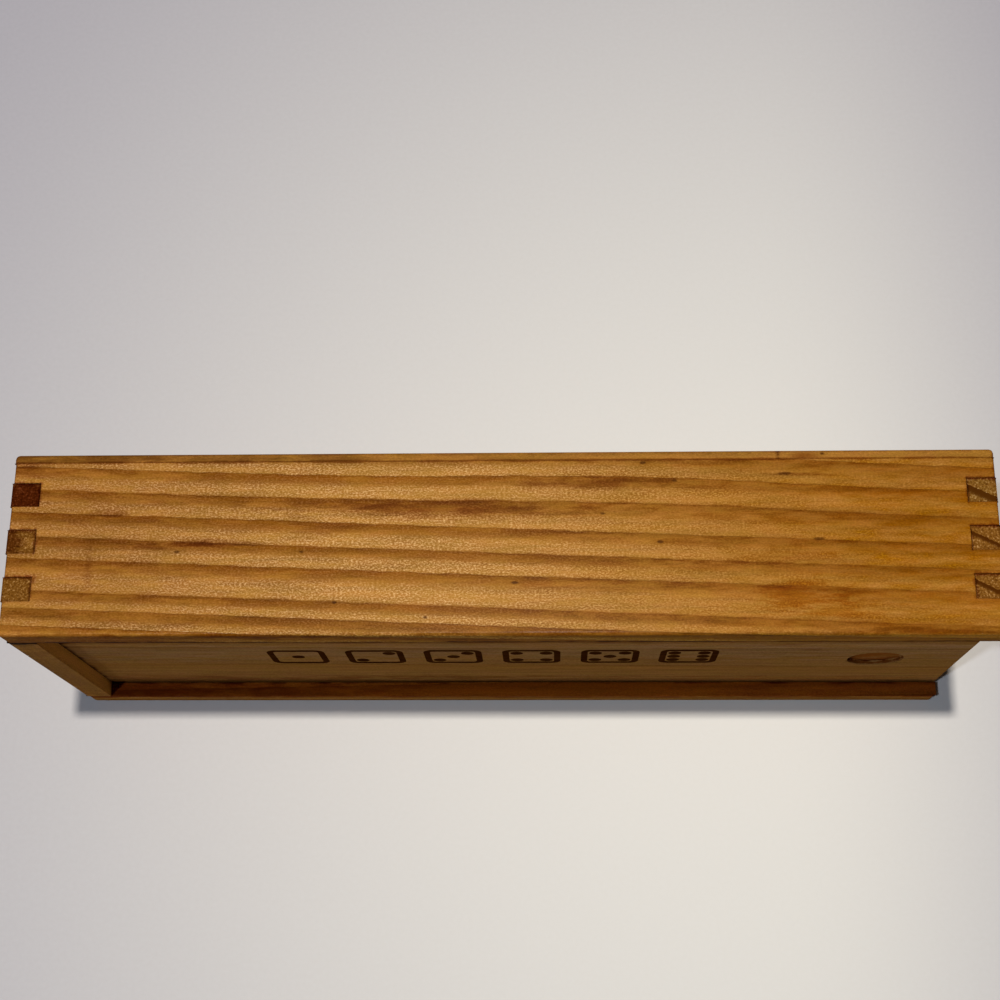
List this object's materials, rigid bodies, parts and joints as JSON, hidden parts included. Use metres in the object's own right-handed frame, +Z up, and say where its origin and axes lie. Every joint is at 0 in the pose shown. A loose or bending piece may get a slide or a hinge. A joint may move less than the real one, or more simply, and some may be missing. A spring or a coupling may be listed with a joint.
{
  "type": "domino storage box",
  "caption": "Finger-jointed wooden box with a sliding lid, for a double-six set of dominoes, lying on a long side wall.",
  "frame": {"origin": "middle of the lower side wall's outer face, which the box lies on", "axes": "+Z up, +X towards the end where the lid slides out, -Y out of the lid's face, +Y out of the bottom board's back"},
  "size_m": [0.2, 0.0386, 0.066],
  "materials": {
    "side_pine": "satin lacquer over honey-coloured stain, growth rings along the board",
    "end_pine": "satin lacquer, darker end grain on the fingers",
    "bottom_pine": "satin lacquer over a thin flat-sawn board",
    "lid_pine": "satin lacquer over a pale straight-grained board",
    "lid_ink": "matt dark brown printing ink soaked into the lid"
  },
  "bodies": {
    "box": {"upper_side_wall": "side_pine", "lower_side_wall": "side_pine", "closed_end_wall": "end_pine", "low_end_wall": "end_pine", "bottom_board": "bottom_pine"},
    "lid": {"sliding_lid": "lid_pine"}
  },
  "joints": [
    {"name": "lid_slide", "type": "slide", "parent": "box", "child": "lid", "axis": [1, 0, 0], "range_m": [0, 0.185]}
  ]
}
